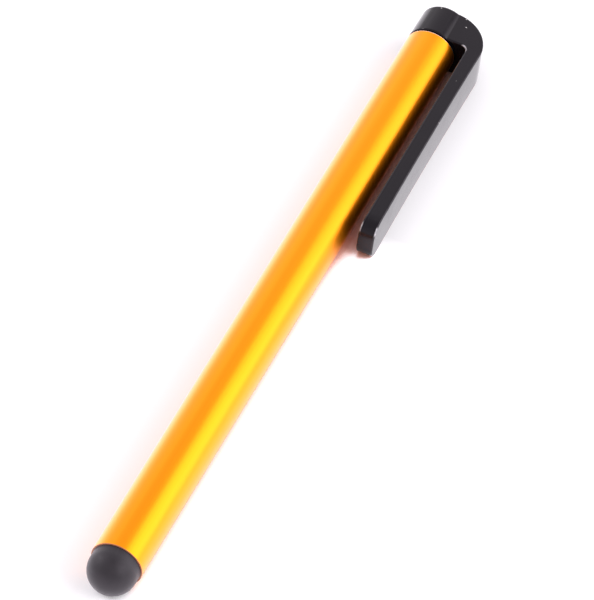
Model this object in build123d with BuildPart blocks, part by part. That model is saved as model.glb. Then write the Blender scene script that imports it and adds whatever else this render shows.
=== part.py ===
from build123d import *
from math import asin, atan2, cos, degrees, hypot, sin
import os

# A touch-screen stylus lying on a table: a thin tube, a soft dome at one end and a clip cap at the other.
# X runs along the pen towards the cap, Z is up, and the clip lies on the -Y side and touches the table.
# The origin is on the table, in the middle of the pen's box. All lengths are in millimetres.

# Tube
tube_diameter = 7.0
tube_length = 101.0
tube_wall = 0.5
rim_break = 0.08

# Soft tip and the mouth of the tube that it slides in
mouth_wall = 0.2
tip_clearance = 0.05
tip_reach = 1.15
tip_wall = 0.8
tip_skirt = 1.9
tip_travel = 0.8
bead_length = 1.0
bead_height = 0.7
bead_clearance = 0.1

# Holder inside the tip
head_length = 1.4
head_clearance = 0.25
head_chamfer = 0.5
flange_thickness = 0.7
plug_length = 6.0
plug_chamfer = 0.4
fit_clearance = 0.02

# Cap
cap_seam = 0.2
cap_draft = 0.05
cap_edge_radius = 0.65
spigot_length = 6.0
spigot_wall = 1.0
spigot_chamfer = 0.3

# Clip
clip_width = 5.9
clip_thickness = 2.1
clip_gap = 1.45
clip_length = 36.7
clip_edge_radius = 0.2
clip_end_radius = 2.0
hook_radius = 5.8
hook_overlap = 0.6
hook_inner_radius = 0.95
root_margin = 0.5
root_gap = 0.02

# Radii, and places along the pen measured from the tube's rim at the soft tip
tube_radius = tube_diameter / 2
bore_radius = tube_radius - tube_wall
mouth_radius = tube_radius - mouth_wall
tip_radius = mouth_radius - tip_clearance
hollow_radius = tip_radius - tip_wall
bead_radius = hollow_radius - bead_height
bead_start = tip_skirt - bead_length
head_back = bead_start - bead_clearance
head_front = head_back - head_length
head_radius = hollow_radius - head_clearance
neck_radius = bead_radius - bead_clearance
flange_front = tip_skirt + tip_travel + bead_clearance
mouth_depth = flange_front + flange_thickness
plug_end = mouth_depth + plug_length
plug_radius = bore_radius - fit_clearance
tip_apex = -tip_reach - tip_radius
cap_shoulder = tube_length + cap_seam
cap_top = cap_shoulder + hook_radius - hook_overlap
crown_radius = tube_radius - cap_draft
spigot_end = tube_length - spigot_length
core_radius = plug_radius - spigot_wall

# The clip's faces, measured from the pen's axis, and where its arm starts and ends
clip_inside = tube_radius + clip_gap
clip_outside = clip_inside + clip_thickness
clip_half_width = clip_width / 2
arm_start = cap_shoulder - hook_overlap - root_margin
arm_end = tube_length - clip_length

# The pen rolls until the clip's lower edge touches the table, which sets how far the clip dips
edge_out = clip_outside - clip_edge_radius
edge_side = clip_half_width - clip_edge_radius
edge_drop = asin((tube_radius - clip_edge_radius) / hypot(edge_out, edge_side))
clip_dip = edge_drop - atan2(edge_side, edge_out)
clip_reach = edge_out * cos(clip_dip) + edge_side * sin(clip_dip) + clip_edge_radius

# The pen's own frame: x along the pen from the tip's rim, y outwards through the middle of the clip
rim_place = Vector(-(tip_apex + cap_top) / 2, (clip_reach - tube_radius) / 2, tube_radius)
along = Vector(1, 0, 0)
outwards = Vector(0, -cos(clip_dip), -sin(clip_dip))
pen_side = Plane(origin=rim_place, x_dir=along, z_dir=along.cross(outwards))
pen_axis = Axis(rim_place, along)
clip_axis = Axis(rim_place, outwards)

os.makedirs("parts", exist_ok=True)

# Tube, with its mouth bored out thin for the soft tip
with BuildPart() as barrel_tube:
    with BuildSketch(pen_side):
        with BuildLine():
            Polyline(
                (0, mouth_radius),
                (0, tube_radius - rim_break),
                (rim_break, tube_radius),
                (tube_length - rim_break, tube_radius),
                (tube_length, tube_radius - rim_break),
                (tube_length, bore_radius),
                (mouth_depth, bore_radius),
                (mouth_depth, mouth_radius),
                close=True,
            )
        make_face()
    revolve(axis=pen_axis)
barrel_tube.part.label = "barrel_tube"
export_step(barrel_tube.part, "parts/barrel_tube.step")

# Soft tip: a hollow dome whose skirt ends in a bead
with BuildPart() as rubber_tip:
    with BuildSketch(pen_side):
        with BuildLine():
            Polyline(
                (-tip_reach, hollow_radius),
                (bead_start, hollow_radius),
                (bead_start, bead_radius),
                (tip_skirt, bead_radius),
                (tip_skirt, tip_radius),
                (-tip_reach, tip_radius),
            )
            CenterArc((-tip_reach, 0), tip_radius, 90, 90)
            Line((tip_apex, 0), (tip_apex + tip_wall, 0))
            CenterArc((-tip_reach, 0), hollow_radius, 90, 90)
        make_face()
    revolve(axis=pen_axis)
rubber_tip.part.label = "rubber_tip"
export_step(rubber_tip.part, "parts/rubber_tip.step")

# Holder: a head that the bead catches behind, a flange on the tube's step and a plug in its bore
with BuildPart() as tip_holder:
    with BuildSketch(pen_side):
        with BuildLine():
            Polyline(
                (head_front, 0),
                (head_front, head_radius - head_chamfer),
                (head_front + head_chamfer, head_radius),
                (head_back, head_radius),
                (head_back, neck_radius),
                (flange_front, neck_radius),
                (flange_front, tip_radius),
                (mouth_depth, tip_radius),
                (mouth_depth, plug_radius),
                (plug_end - plug_chamfer, plug_radius),
                (plug_end, plug_radius - plug_chamfer),
                (plug_end, 0),
                close=True,
            )
        make_face()
    revolve(axis=pen_axis)
tip_holder.part.label = "tip_holder"
export_step(tip_holder.part, "parts/tip_holder.step")

# Cap: the hook that carries the clip's arm, then the round cap with its moulding draft and its cored spigot
with BuildPart() as clip_cap:
    with BuildSketch(pen_side):
        with BuildLine():
            Polyline(
                (cap_top, clip_outside - hook_radius),
                (cap_top, 0),
                (cap_shoulder, 0),
                (cap_shoulder, clip_inside - hook_inner_radius),
            )
            RadiusArc(
                (cap_shoulder, clip_inside - hook_inner_radius),
                (cap_shoulder - hook_inner_radius, clip_inside),
                -hook_inner_radius,
            )
            Polyline(
                (cap_shoulder - hook_inner_radius, clip_inside),
                (arm_start, clip_inside),
                (arm_start, clip_outside),
                (cap_top - hook_radius, clip_outside),
            )
            CenterArc((cap_top - hook_radius, clip_outside - hook_radius), hook_radius, 0, 90)
        make_face()
    extrude(amount=clip_half_width, both=True)
    hook_rims = clip_cap.faces().filter_by(Axis(rim_place, pen_side.z_dir)).edges()
    fillet(hook_rims - hook_rims.group_by(Axis.X)[0] - hook_rims.group_by(clip_axis)[0], clip_edge_radius)
    with BuildSketch(pen_side):
        with BuildLine():
            Polyline(
                (cap_top - cap_edge_radius, crown_radius),
                (cap_shoulder, tube_radius),
                (cap_shoulder, plug_radius),
                (spigot_end + spigot_chamfer, plug_radius),
                (spigot_end, plug_radius - spigot_chamfer),
                (spigot_end, core_radius),
                (cap_shoulder, core_radius),
                (cap_shoulder, 0),
                (cap_top, 0),
                (cap_top, crown_radius - cap_edge_radius),
            )
            CenterArc((cap_top - cap_edge_radius, crown_radius - cap_edge_radius), cap_edge_radius, 0, 90)
        make_face()
    revolve(axis=pen_axis)
clip_cap.part.label = "clip_cap"
export_step(clip_cap.part, "parts/clip_cap.step")

# Clip arm with its round-cornered end, which springs away from the tube about the outer edge of its root
with BuildPart() as clip_arm:
    with BuildSketch(pen_side):
        with BuildLine():
            Polyline(
                (arm_end, clip_inside),
                (arm_start - root_gap, clip_inside),
                (arm_start - root_gap, clip_outside),
                (arm_end, clip_outside),
                close=True,
            )
        make_face()
    extrude(amount=clip_half_width, both=True)
    fillet(clip_arm.faces().sort_by(Axis.X)[0].edges().filter_by(clip_axis), clip_end_radius)
    arm_rims = clip_arm.faces().sort_by(clip_axis)[0].edges() + clip_arm.faces().sort_by(clip_axis)[-1].edges()
    fillet(arm_rims - arm_rims.group_by(Axis.X)[-1], clip_edge_radius)
clip_arm.part.label = "clip_arm"
export_step(clip_arm.part, "parts/clip_arm.step")

# Places that the joints and mounts need
hinge_place = pen_side.from_local_coords((arm_start, clip_outside, 0))
print(f"clip dips {degrees(clip_dip):.4f} degrees, hinge at {hinge_place}")
print(f"tip rim at {rim_place}, cap end of the tube at x {rim_place.X + tube_length:.4f}")
print(f"outwards {outwards}")
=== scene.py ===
import bpy
import bmesh
from math import atan2, degrees, hypot, pi, radians
from mathutils import Matrix, Vector


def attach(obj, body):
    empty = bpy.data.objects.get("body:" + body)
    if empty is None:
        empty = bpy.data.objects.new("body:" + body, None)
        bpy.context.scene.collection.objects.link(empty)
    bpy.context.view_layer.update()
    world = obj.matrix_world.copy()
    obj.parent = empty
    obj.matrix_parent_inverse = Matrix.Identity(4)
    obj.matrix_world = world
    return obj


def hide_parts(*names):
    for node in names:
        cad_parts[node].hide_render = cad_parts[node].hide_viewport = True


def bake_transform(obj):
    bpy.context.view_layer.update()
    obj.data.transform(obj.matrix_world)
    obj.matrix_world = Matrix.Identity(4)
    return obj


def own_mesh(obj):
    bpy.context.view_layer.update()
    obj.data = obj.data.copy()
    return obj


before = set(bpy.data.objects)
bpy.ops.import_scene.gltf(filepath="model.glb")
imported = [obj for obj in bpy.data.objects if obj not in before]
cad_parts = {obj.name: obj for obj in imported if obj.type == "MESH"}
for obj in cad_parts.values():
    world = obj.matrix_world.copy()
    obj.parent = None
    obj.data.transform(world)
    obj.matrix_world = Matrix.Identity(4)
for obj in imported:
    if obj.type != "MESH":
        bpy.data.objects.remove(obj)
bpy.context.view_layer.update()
print("frame loaded with", ", ".join(sorted(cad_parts)))

# pieces are modelled in millimetres along the pen: x from the tube's rim at the soft tip, y out through the clip
pen = {"rim": (-0.051, 0.0018758, 0.0035), "clipDip": 4.6824, "unit": 0.001}
layOnTable = Matrix.Rotation(pi + radians(pen["clipDip"]), 4, "X")
penToRow = Matrix.Translation(pen["rim"]) @ layOnTable @ Matrix.Scale(pen["unit"], 4)


def feed(tree, socket, value):  # a link from another node, a colour or a plain number
    if isinstance(value, bpy.types.NodeSocket):
        tree.links.new(value, socket)
    elif isinstance(value, tuple):
        socket.default_value = (*value, 1.0)
    else:
        socket.default_value = value


def fill(tree, node, inputs):
    for name, value in inputs.items():
        feed(tree, node.inputs[name.replace("_", " ")], value)


def addNode(tree, kind, place, **inputs):
    node = tree.nodes.new(kind)
    node.location = place
    fill(tree, node, inputs)
    return node


def addMath(tree, operation, place, *values):
    node = addNode(tree, "ShaderNodeMath", place)
    node.operation = operation
    for socket, value in zip(node.inputs, values):
        feed(tree, socket, value)
    return node.outputs[0]


def addRange(tree, value, place, given, wanted=(0.0, 1.0), smooth=False):  # stops at both ends of the wanted range
    node = addNode(tree, "ShaderNodeMapRange", place, Value=value,
        From_Min=given[0], From_Max=given[1], To_Min=wanted[0], To_Max=wanted[1])
    if smooth:
        node.interpolation_type = "SMOOTHSTEP"
    return node.outputs["Result"]


mixSockets = {"RGBA": (6, 7, 2), "FLOAT": (2, 3, 0)}  # first, second and result of the mix node


def addMix(tree, kind, share, first, second, place):
    node = addNode(tree, "ShaderNodeMix", place)
    node.data_type = kind
    firstSocket, secondSocket, result = mixSockets[kind]
    for socket, value in ((0, share), (firstSocket, first), (secondSocket, second)):
        feed(tree, node.inputs[socket], value)
    return node.outputs[result]


noiseSpan = (0.3, 0.7)  # where most of a noise lies


def spread(tree, noise, place, wanted=(0.0, 1.0)):
    return addRange(tree, noise, place, noiseSpan, wanted)


bumpDepth = 0.0001


def addBump(tree, shader, height, strength):
    bump = addNode(tree, "ShaderNodeBump", (-350, -250), Strength=strength, Distance=bumpDepth, Height=height)
    tree.links.new(bump.outputs["Normal"], shader.inputs["Normal"])


def newGroup(name, inputs, outputs):
    tree = bpy.data.node_groups.new(name, "ShaderNodeTree")
    for label, kind, value in inputs:
        socket = tree.interface.new_socket(label, in_out="INPUT", socket_type=kind)
        if value is not None:
            socket.default_value = value
    for label, kind in outputs:
        tree.interface.new_socket(label, in_out="OUTPUT", socket_type=kind)
    return tree, addNode(tree, "NodeGroupInput", (-800, 0)), addNode(tree, "NodeGroupOutput", (800, 0))


def placeGroup(tree, group, place, **inputs):
    node = addNode(tree, "ShaderNodeGroup", place)
    node.node_tree = group
    fill(tree, node, inputs)
    return node


def newMaterial(name):
    material = bpy.data.materials.new(name)
    material.use_nodes = True
    tree = material.node_tree
    where = addNode(tree, "ShaderNodeTexCoord", (-1400, 0))
    return material, tree, tree.nodes["Principled BSDF"], where.outputs["Object"]


def makeDustGroup():  # shared: loose dust as small pale specks, with a mask out
    tree, given, out = newGroup("looseDust",
        [("Vector", "NodeSocketVector", None), ("Spacing", "NodeSocketFloat", 400.0),
            ("Size", "NodeSocketFloat", 0.05), ("Share", "NodeSocketFloat", 0.3)],
        [("Mask", "NodeSocketFloat")])
    cells = addNode(tree, "ShaderNodeTexVoronoi", (-500, 150),
        Vector=given.outputs["Vector"], Scale=given.outputs["Spacing"])
    near = addMath(tree, "LESS_THAN", (-200, 200), cells.outputs["Distance"], given.outputs["Size"])
    pick = addNode(tree, "ShaderNodeSeparateColor", (-200, 0), Color=cells.outputs["Color"])
    few = addMath(tree, "LESS_THAN", (0, 0), pick.outputs["Red"], given.outputs["Share"])
    tree.links.new(addMath(tree, "MULTIPLY", (300, 100), near, few), out.inputs["Mask"])
    return tree


def makeGrainGroup():  # shared: two sizes of soft noise, for grain in the skin and for slow changes over the piece
    tree, given, out = newGroup("skinGrain",
        [("Vector", "NodeSocketVector", None), ("Grain", "NodeSocketFloat", 6000.0), ("Patch", "NodeSocketFloat", 200.0)],
        [("Grain", "NodeSocketFloat"), ("Patch", "NodeSocketFloat")])
    for label, row, detail, roughness in (("Grain", 150, 3.0, 0.6), ("Patch", -150, 4.0, 0.55)):
        noise = addNode(tree, "ShaderNodeTexNoise", (-300, row), Detail=detail, Roughness=roughness,
            Vector=given.outputs["Vector"], Scale=given.outputs[label])
        tree.links.new(noise.outputs["Fac"], out.inputs[label])
    return tree


dustGroup = makeDustGroup()
grainGroup = makeGrainGroup()

# the dark brown colour at the mouth is painted shade, where the rubber dome sits in the tube
anodised = {"deep": (0.96, 0.295, 0.0015), "bright": (1.0, 0.325, 0.0025), "rough": (0.33, 0.39),
    "seal": 0.75, "sealIor": 1.18, "sealRough": 0.3,
    "lineStretch": 0.006, "lines": 9000.0, "patch": 900.0, "lineBump": 0.02,
    "bare": (0.93, 0.9, 0.84), "bareFrom": 0.04979, "paintedMouthShade": (0.42, 0.16, 0.08), "paintedMouthShadeTo": -0.05096}


def makeAnodisedTube():
    material, tree, shader, where = newMaterial("anodisedTube")
    stretch = addNode(tree, "ShaderNodeMapping", (-1150, 0), Vector=where)
    stretch.inputs["Scale"].default_value = (anodised["lineStretch"], 1.0, 1.0)  # drawn lines run along the tube
    lines = placeGroup(tree, grainGroup, (-900, 0),
        Vector=stretch.outputs["Vector"], Grain=anodised["lines"], Patch=anodised["patch"])
    patch = spread(tree, lines.outputs["Patch"], (-600, 250))
    dyed = addMix(tree, "RGBA", patch, anodised["deep"], anodised["bright"], (-400, 250))
    along = addNode(tree, "ShaderNodeSeparateXYZ", (-900, 450), Vector=where).outputs["X"]
    bare = addMath(tree, "GREATER_THAN", (-600, 450), along, anodised["bareFrom"])  # cut edge at the cap
    inPaintedMouthShade = addMath(tree, "LESS_THAN", (-600, 650), along, anodised["paintedMouthShadeTo"])  # painted shade on the edge of the mouth: dark brown and not metallic
    dyed = addMix(tree, "RGBA", bare, dyed, anodised["bare"], (-200, 450))
    dyed = addMix(tree, "RGBA", inPaintedMouthShade, dyed, anodised["paintedMouthShade"], (-200, 650))
    tree.links.new(dyed, shader.inputs["Base Color"])
    # the painted mouth shade is not metallic
    tree.links.new(addMath(tree, "SUBTRACT", (-200, 850), 1.0, inPaintedMouthShade), shader.inputs["Metallic"])
    tree.links.new(spread(tree, lines.outputs["Grain"], (-600, 0), anodised["rough"]), shader.inputs["Roughness"])
    addBump(tree, shader, lines.outputs["Grain"], anodised["lineBump"])
    shader.inputs["Coat Weight"].default_value = anodised["seal"]
    shader.inputs["Coat IOR"].default_value = anodised["sealIor"]
    shader.inputs["Coat Roughness"].default_value = anodised["sealRough"]
    return material


# the gloss plastic's lighter edge colour is a painted glint, standing in for highlights on the clip's edges
glossPlastic = {"grain": 2500.0, "patch": 350.0, "deep": (0.0035, 0.003, 0.004), "pale": (0.0055, 0.0048, 0.006),
    "rough": (0.12, 0.2), "bump": 0.03, "ior": 1.32, "tint": (0.98, 0.88, 1.0), "sheen": 0.0, "sheenRough": 0.4,
    "dust": (0.5, 0.48, 0.47), "dustSpacing": 520.0, "dustSize": 0.045, "dustShare": 0.9,
    "paintedGlint": (0.6, 0.58, 0.62), "paintedGlintShare": (0.25, 1.0)}
softRubber = {"grain": 9000.0, "patch": 600.0, "deep": (0.011, 0.0095, 0.0115), "pale": (0.018, 0.0155, 0.0185),
    "rough": (0.44, 0.54), "bump": 0.12, "ior": 1.42, "tint": (0.98, 0.9, 1.0), "sheen": 0.24, "sheenRough": 0.4,
    "dust": (0.3, 0.28, 0.28), "dustSpacing": 900.0, "dustSize": 0.04, "dustShare": 0.1}
holderPlastic = {"grain": 4000.0, "patch": 300.0, "deep": (0.08, 0.08, 0.08), "pale": (0.12, 0.12, 0.12),
    "rough": (0.5, 0.65), "bump": 0.05, "ior": 1.46, "tint": (1.0, 1.0, 1.0), "sheen": 0.0, "sheenRough": 0.4,
    "dust": (0.2, 0.2, 0.2), "dustSpacing": 800.0, "dustSize": 0.02, "dustShare": 0.1}


def makeBlackSkin(name, look):
    material, tree, shader, where = newMaterial(name)
    grain = placeGroup(tree, grainGroup, (-1100, 100), Vector=where, Grain=look["grain"], Patch=look["patch"])
    dust = placeGroup(tree, dustGroup, (-1100, -250), Vector=where,
        Spacing=look["dustSpacing"], Size=look["dustSize"], Share=look["dustShare"])
    patch = spread(tree, grain.outputs["Patch"], (-850, 300))
    skin = addMix(tree, "RGBA", patch, look["deep"], look["pale"], (-600, 300))
    skin = addMix(tree, "RGBA", dust.outputs["Mask"], skin, look["dust"], (-350, 300))
    if "paintedGlint" in look:  # painted glints: the clip's edges lightened by the mesh's own mask, standing in for highlights
        edges = addNode(tree, "ShaderNodeAttribute", (-600, 550))
        edges.attribute_name = "paintedGlint"
        uneven = spread(tree, grain.outputs["Grain"], (-600, 750), look["paintedGlintShare"])
        paintedGlint = addMath(tree, "MULTIPLY", (-350, 550), edges.outputs["Fac"], uneven)
        skin = addMix(tree, "RGBA", paintedGlint, skin, look["paintedGlint"], (-150, 300))
    tree.links.new(skin, shader.inputs["Base Color"])
    tree.links.new(spread(tree, grain.outputs["Patch"], (-850, 0), look["rough"]), shader.inputs["Roughness"])
    addBump(tree, shader, grain.outputs["Grain"], look["bump"])
    shader.inputs["IOR"].default_value = look["ior"]
    shader.inputs["Specular Tint"].default_value = (*look["tint"], 1.0)
    shader.inputs["Sheen Weight"].default_value = look["sheen"]
    shader.inputs["Sheen Roughness"].default_value = look["sheenRough"]
    shader.inputs["Sheen Tint"].default_value = (*look["tint"], 1.0)
    return material


tubeMaterial = makeAnodisedTube()
plasticMaterial = makeBlackSkin("glossBlackPlastic", glossPlastic)
rubberMaterial = makeBlackSkin("softBlackRubber", softRubber)
holderMaterial = makeBlackSkin("holderPlastic", holderPlastic)
print("materials made")

meshing = {"weld": 0.0005, "near": 0.001, "smoothBelow": 31, "sharpAbove": 35}  # millimetres and degrees


def wire(bm, points, closed=False):
    verts = [bm.verts.new((x, r, 0)) for x, r in points]
    for pair in zip(verts, verts[1:] + verts[:1] if closed else verts[1:]):
        bm.edges.new(pair)
    return verts


def spinWire(bm, steps):  # turns a wire in the xy plane about the pen's axis
    bmesh.ops.spin(bm, geom=bm.verts[:] + bm.edges[:], cent=(0, 0, 0), axis=(1, 0, 0),
        angle=2 * pi, steps=steps, use_merge=True)
    bmesh.ops.remove_doubles(bm, verts=bm.verts, dist=meshing["weld"])
    bmesh.ops.recalc_face_normals(bm, faces=bm.faces)


def ringEdges(bm, x, r):
    def onRing(point):
        return abs(point.x - x) < meshing["near"] and abs(hypot(point.y, point.z) - r) < meshing["near"]
    return [e for e in bm.edges if all(onRing(v.co) for v in e.verts)]


def sharpEdges(bm, above):  # sharp edges further out than a given y
    return [e for e in bm.edges if len(e.link_faces) == 2 and e.calc_face_angle() > radians(meshing["sharpAbove"])
        and (e.verts[0].co.y + e.verts[1].co.y) / 2 > above]


def softenEdges(bm, edges, offset, segments):
    bmesh.ops.bevel(bm, geom=edges, offset=offset, offset_type="OFFSET", segments=segments,
        profile=0.5, affect="EDGES", material=-1)


def roundCorner(bm, vert, offset, segments):
    bmesh.ops.bevel(bm, geom=[vert], offset=offset, offset_type="OFFSET", segments=segments,
        profile=0.5, affect="VERTICES", material=-1)


def thicken(bm, width):  # draws a flat face out sideways
    grown = bmesh.ops.extrude_face_region(bm, geom=bm.faces[:])["geom"]
    bmesh.ops.translate(bm, vec=(0, 0, width), verts=[g for g in grown if isinstance(g, bmesh.types.BMVert)])
    bmesh.ops.recalc_face_normals(bm, faces=bm.faces)


def makeObject(name, bm):
    mesh = bpy.data.meshes.new(name)
    bm.to_mesh(mesh)
    bm.free()
    thing = bpy.data.objects.new(name, mesh)
    bpy.context.scene.collection.objects.link(thing)
    return thing


def makePiece(name, bm, material):
    bmesh.ops.transform(bm, matrix=penToRow, verts=bm.verts)
    piece = makeObject(name, bm)
    piece.data.shade_smooth()
    piece.data.set_sharp_from_angle(angle=radians(meshing["smoothBelow"]))
    piece.data.materials.append(material)
    even = piece.modifiers.new("evenShading", "WEIGHTED_NORMAL")
    even.keep_sharp = True
    return piece


tube = {"radius": 3.5, "bore": 3.0, "length": 100.9, "mouth": 3.3, "mouthDepth": 3.5, "steps": 160,
    "rimBreak": 0.04, "rimSteps": 3, "cutBreak": 0.12, "cutSteps": 4}


def makeTube():
    bm = bmesh.new()
    radius, bore, mouth = tube["radius"], tube["bore"], tube["mouth"]
    length, depth = tube["length"], tube["mouthDepth"]
    wire(bm, [(0, mouth), (0, radius), (length, radius), (length, bore), (depth, bore), (depth, mouth)], closed=True)
    spinWire(bm, tube["steps"])
    softenEdges(bm, ringEdges(bm, 0, radius), tube["rimBreak"], tube["rimSteps"])
    softenEdges(bm, ringEdges(bm, length, radius), tube["cutBreak"], tube["cutSteps"])
    return makePiece("barrelTube", bm, tubeMaterial)


barrelTube = makeTube()
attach(barrelTube, "barrel")
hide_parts("barrel_tube")
print("tube made,", len(barrelTube.data.polygons), "faces")

dome = {"radius": 3.28, "reach": 1.12, "wall": 0.8, "skirt": 1.9, "bead": 1.75, "beadStart": 0.9, "travel": 0.8,
    "steps": 96, "arcSteps": 24, "footBreak": 0.25, "footSteps": 3}


def makeDome():
    bm = bmesh.new()
    outer, inner = dome["radius"], dome["radius"] - dome["wall"]
    skirt, bead, beadStart = dome["skirt"], dome["bead"], dome["beadStart"]
    ends = []
    for radius in (outer, inner):  # a quarter circle from the apex for each side of the wall
        apex = bm.verts.new((-dome["reach"] - radius, 0, 0))
        bmesh.ops.spin(bm, geom=[apex], cent=(-dome["reach"], 0, 0), axis=(0, 0, 1),
            angle=-pi / 2, steps=dome["arcSteps"])
        bm.verts.ensure_lookup_table()
        ends.append(bm.verts[-1])
    foot = wire(bm, [(skirt, outer), (skirt, bead), (beadStart, bead), (beadStart, inner)])
    bm.edges.new((ends[0], foot[0]))
    bm.edges.new((foot[-1], ends[1]))
    spinWire(bm, dome["steps"])
    softenEdges(bm, ringEdges(bm, skirt, outer), dome["footBreak"], dome["footSteps"])
    return makePiece("rubberDome", bm, rubberMaterial)


rubberDome = makeDome()
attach(rubberDome, "tip")
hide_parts("rubber_tip")
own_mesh(rubberDome)
print("dome made,", len(rubberDome.data.polygons), "faces")

cap = {"shoulder": 101.2, "top": 106.45, "radius": 3.5, "crown": 3.45, "steps": 144,
    "edge": 0.55, "edgeSteps": 8, "foot": 0.2, "footSteps": 3, "spigot": 2.98, "core": 1.98, "spigotEnd": 95.0}


def makeCapRound():
    bm = bmesh.new()
    shoulder, top, spigotEnd = cap["shoulder"], cap["top"], cap["spigotEnd"]
    wire(bm, [(shoulder, 0), (shoulder, cap["core"]), (spigotEnd, cap["core"]), (spigotEnd, cap["spigot"]),
        (shoulder, cap["spigot"]), (shoulder, cap["radius"]), (top, cap["crown"]), (top, 0)])
    spinWire(bm, cap["steps"])
    softenEdges(bm, ringEdges(bm, top, cap["crown"]), cap["edge"], cap["edgeSteps"])
    softenEdges(bm, ringEdges(bm, shoulder, cap["radius"]), cap["foot"], cap["footSteps"])
    return bm


clip = {"width": 5.9, "outside": 7.05, "inside": 4.95, "end": 64.2, "sink": 0.02, "drop": 0.06,
    "hookRadius": 5.8, "hookSteps": 24, "innerRadius": 0.95, "innerSteps": 8, "endRadius": 2.0, "endSteps": 8,
    "rim": 0.2, "rimSteps": 4, "rimFrom": 0.3, "loops": 34, "bendFrom": 100.1, "bendTo": 88.0,
    "bowAt": 88.0, "bowRate": 0.0004}


def makeHookBar():
    back, front = cap["top"] - clip["drop"], cap["shoulder"] + clip["sink"]
    end, inside, outside = clip["end"], clip["inside"], clip["outside"]
    outline = [(back, 0), (front, 0), (front, inside), (end, inside), (end, outside), (back, outside)]
    bm = bmesh.new()
    corners = [bm.verts.new((x, y, -clip["width"] / 2)) for x, y in outline]
    bm.faces.new(corners)
    roundCorner(bm, corners[2], clip["innerRadius"], clip["innerSteps"])
    roundCorner(bm, corners[5], clip["hookRadius"], clip["hookSteps"])
    thicken(bm, clip["width"])
    endCorners = [e for e in bm.edges if all(abs(v.co.x - end) < meshing["near"] for v in e.verts)
        and abs(e.verts[0].co.z - e.verts[1].co.z) < meshing["near"]]
    softenEdges(bm, endCorners, clip["endRadius"], clip["endSteps"])
    softenEdges(bm, sharpEdges(bm, clip["rimFrom"]), clip["rim"], clip["rimSteps"])
    return bm


# painted glints: the clip's end corners and the hook's inner corner are lightened to stand in for highlights
paintedGlints = {"band": (0.01, 0.13), "corner": 1.0, "turn": (28, 62), "side": 0.06, "inner": 0.8, "margin": 0.1}


def paintedGlintAt(point):  # how strongly an edge of the clip gets painted glints, a lighter colour standing in for highlights: most at its end and inside the hook, hardly along its sides
    low, high = paintedGlints["band"]
    inside, halfWidth, margin = clip["inside"], clip["width"] / 2, paintedGlints["margin"]
    depths = (clip["outside"] - point.y, point.y - inside)
    if point.x < clip["bendFrom"] and any(low < depth < high for depth in depths):
        endwards = clip["end"] + clip["endRadius"] - point.x
        turn = degrees(atan2(endwards, abs(point.z) - halfWidth + clip["endRadius"]))
        return paintedGlints["corner"] if paintedGlints["turn"][0] < turn < paintedGlints["turn"][1] else paintedGlints["side"]
    onSide = low < halfWidth - abs(point.z) < high
    inHookX = clip["bendFrom"] < point.x < cap["shoulder"] + clip["sink"] + margin
    inHookY = inside - clip["innerRadius"] + margin < point.y < inside + margin
    return paintedGlints["inner"] if onSide and inHookX and inHookY else 0.0


def outerBow(point):  # the arm's outer face has a slight bow, which fades to nothing at its inner face
    bow = clip["bowRate"] * ((point.x - clip["bowAt"]) ** 2 - (clip["bendFrom"] - clip["bowAt"]) ** 2)
    return bow * (point.y - clip["inside"]) / (clip["outside"] - clip["inside"])


def makeClipMoulding():
    whole, hook = makeObject("capRound", makeCapRound()), makeObject("hookBar", makeHookBar())
    join = whole.modifiers.new("join", "BOOLEAN")
    join.operation, join.solver, join.object = "UNION", "EXACT", hook
    joined = bpy.data.meshes.new_from_object(whole.evaluated_get(bpy.context.evaluated_depsgraph_get()))
    bm = bmesh.new()
    bm.from_mesh(joined)
    for thing in (whole, hook):
        bpy.data.objects.remove(thing)
    bmesh.ops.remove_doubles(bm, verts=bm.verts, dist=meshing["weld"])
    first, last = clip["bendFrom"], clip["end"] + clip["endRadius"]
    for step in range(clip["loops"]):  # cross loops along the arm
        bmesh.ops.bisect_plane(bm, geom=bm.verts[:] + bm.edges[:] + bm.faces[:], dist=meshing["weld"],
            plane_co=(first + (last - first) * step / clip["loops"], 0, 0), plane_no=(1, 0, 0))
    # painted glints: a mask that lightens the clip's edges in place of highlights
    paintedGlintLayer = bm.verts.layers.float.new("paintedGlint")
    for vert in bm.verts:
        vert[paintedGlintLayer] = paintedGlintAt(vert.co)
        if vert.co.x < clip["bendFrom"] and vert.co.y > clip["inside"]:
            vert.co.y += outerBow(vert.co)
    return makePiece("clipMoulding", bm, plasticMaterial)


clipMoulding = makeClipMoulding()
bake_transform(clipMoulding)
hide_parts("clip_cap", "clip_arm")
print("cap and clip made,", len(clipMoulding.data.polygons), "faces")

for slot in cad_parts["tip_holder"].material_slots:
    slot.material = holderMaterial

# lengths in metres; shade and mirror are spans of the floor's openness, 0 under the pen and 1 in the open
floorLook = {"size": 2.0, "drop": 0.00003, "colour": (0.78, 0.78, 0.785), "glow": (0.98, 0.93, 1.0),
    "shadeReach": 0.006, "shade": (0.31, 0.43), "mirror": (0.4, 0.75),
    "shadeColour": (0.82, 0.45, 0.38), "warm": (0.004, 0.016),
    "lift": 0.2, "rightLift": 0.45, "endLift": 0.9, "end": (0.0085, 0.0125), "gapFrom": 0.0185, "right": (-0.001, 0.006),
    "mirrorLift": 1.0, "farLift": 0.52, "clipFoot": -0.0046, "clipFar": -0.0073}


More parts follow.
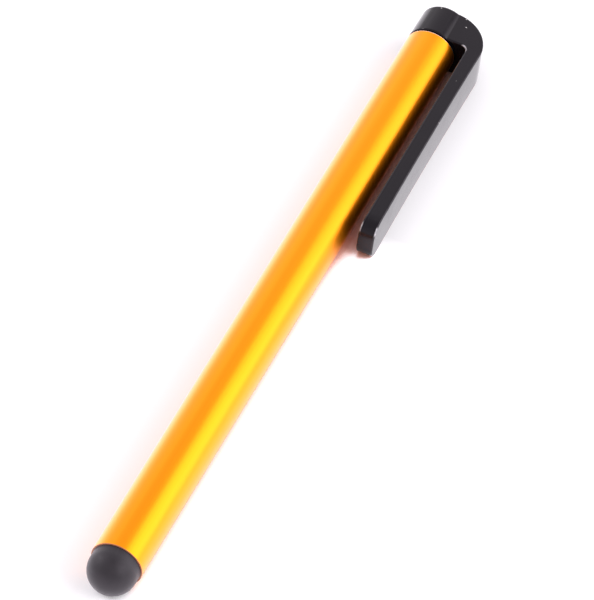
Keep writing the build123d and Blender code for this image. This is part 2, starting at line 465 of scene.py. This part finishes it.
def makeFloorMaterial():
    material = bpy.data.materials.new("paleFloor")
    material.use_nodes = True
    tree = material.node_tree
    tree.nodes.clear()
    look = floorLook
    where = addNode(tree, "ShaderNodeTexCoord", (-1600, 350))
    split = addNode(tree, "ShaderNodeSeparateXYZ", (-1400, 350), Vector=where.outputs["Object"])
    along, across = split.outputs["X"], split.outputs["Y"]
    beside = addRange(tree, along, (-650, 350), look["warm"])  # 0 on the tip's side of the clip, 1 beside it
    openness = addNode(tree, "ShaderNodeAmbientOcclusion", (-550, 100), Distance=look["shadeReach"]).outputs["AO"]
    lit = addRange(tree, openness, (-350, 50), look["shade"], smooth=True)
    warm = addMix(tree, "RGBA", beside, look["colour"], look["shadeColour"], (-400, 350))  # shade is warm beside the clip
    colour = addMix(tree, "RGBA", lit, warm, look["colour"], (-150, 200))
    paper = addNode(tree, "ShaderNodeBsdfDiffuse", (0, 100), Color=colour)

    # how far the camera sees the floor lifted to white: most right of the tube, before the clip's end
    endLift = addRange(tree, along, (-1350, -600), look["end"], (look["rightLift"], look["endLift"]))
    rightLift = addRange(tree, along, (-1100, -600), (look["end"][1], look["gapFrom"]), (endLift, look["lift"]))
    lift = addRange(tree, across, (-850, -600), look["right"], (rightLift, look["lift"]))
    path = addNode(tree, "ShaderNodeLightPath", (-800, -200))
    seen = addMath(tree, "MULTIPLY", (-550, -150), path.outputs["Is Camera Ray"], lift)

    # how white gloss mirrors it: less in the pen's shade, and fading with distance beyond the clip
    mirrored = addMath(tree, "MAXIMUM", (-550, -350), path.outputs["Is Glossy Ray"], path.outputs["Is Transmission Ray"])
    near = addRange(tree, openness, (-350, -400), look["mirror"], (0.0, look["mirrorLift"]), smooth=True)
    far = addRange(tree, across, (-650, 600), (look["clipFoot"], look["clipFar"]), (look["mirrorLift"], look["farLift"]))
    beyond = addMath(tree, "LESS_THAN", (-650, 800), across, look["clipFoot"])
    beyondClip = addMath(tree, "MULTIPLY", (-400, 700), beyond, beside)
    white = addMix(tree, "FLOAT", beyondClip, near, far, (-200, 600))
    inMirror = addMath(tree, "MULTIPLY", (-150, -350), mirrored, white)

    level = addMath(tree, "MULTIPLY_ADD", (-100, -200), seen, lit, inMirror)
    glow = addNode(tree, "ShaderNodeEmission", (100, -150), Color=look["glow"], Strength=level)
    total = addNode(tree, "ShaderNodeAddShader", (300, 0))
    for shader, socket in zip((paper, glow), total.inputs):
        tree.links.new(shader.outputs[0], socket)
    addNode(tree, "ShaderNodeOutputMaterial", (500, 0), Surface=total.outputs[0])
    return material


def makeFloor():
    bm = bmesh.new()
    bmesh.ops.create_grid(bm, x_segments=1, y_segments=1, size=floorLook["size"])
    bmesh.ops.translate(bm, vec=(0, 0, -floorLook["drop"]), verts=bm.verts)
    floor = makeObject("paleFloor", bm)
    floor.data.materials.append(makeFloorMaterial())


makeFloor()

studio = {"colour": (1.0, 0.965, 1.0), "horizon": 1.35, "zenith": 0.78, "boxes": {
    "sideBox": {"place": (0.31, -0.585, 0.385), "size": (0.72, 0.7), "level": 1.8},
    "backBox": {"place": (0.62, 0.16, 0.42), "size": (0.8, 0.42), "level": 0.45},
    "rightGlint": {"place": (-0.22, -0.62, 0.5), "size": (0.26, 0.16), "level": 11.0},
    "leftGlint": {"place": (-0.04, 0.68, 0.48), "size": (0.3, 0.14), "level": 11.0}}}


def makeSoftBox(name, box):
    lamp = bpy.data.lights.new(name, "AREA")
    lamp.shape = "RECTANGLE"
    lamp.size, lamp.size_y = box["size"]
    lamp.energy = box["level"] * pi * lamp.size * lamp.size_y
    holder = bpy.data.objects.new(name, lamp)
    holder.location = box["place"]
    holder.rotation_euler = Vector(box["place"]).to_track_quat("Z", "Y").to_euler()
    bpy.context.scene.collection.objects.link(holder)


def makeLight():
    world = bpy.data.worlds.new("paleStudio")
    world.use_nodes = True
    tree = world.node_tree
    where = addNode(tree, "ShaderNodeTexCoord", (-900, 0))
    height = addNode(tree, "ShaderNodeSeparateXYZ", (-700, 0), Vector=where.outputs["Generated"]).outputs["Z"]
    level = addRange(tree, height, (-450, 0), (0.0, 1.0), (studio["horizon"], studio["zenith"]))  # walls over ceiling
    fill(tree, tree.nodes["Background"], {"Color": studio["colour"], "Strength": level})
    bpy.context.scene.world = world
    for name, box in studio["boxes"].items():
        makeSoftBox(name, box)


makeLight()

view = {"place": (-0.5032, -0.20308, 0.5728), "aim": (0.00048, -0.00011, 0.00279), "roll": 2.208,
    "lens": 365.28, "sensor": 36.0}


def makeCamera():
    data = bpy.data.cameras.new("photoCamera")
    data.sensor_fit = "VERTICAL"
    data.sensor_height = view["sensor"]
    data.lens = view["lens"]
    camera = bpy.data.objects.new("photoCamera", data)
    camera.location = view["place"]
    look = (Vector(view["aim"]) - Vector(view["place"])).to_track_quat("-Z", "Y")
    camera.rotation_euler = (look.to_matrix() @ Matrix.Rotation(radians(view["roll"]), 3, "Z")).to_euler()
    bpy.context.scene.collection.objects.link(camera)
    bpy.context.scene.camera = camera


makeCamera()
bpy.context.scene.view_settings.view_transform = "Standard"
print("floor, light and camera made")
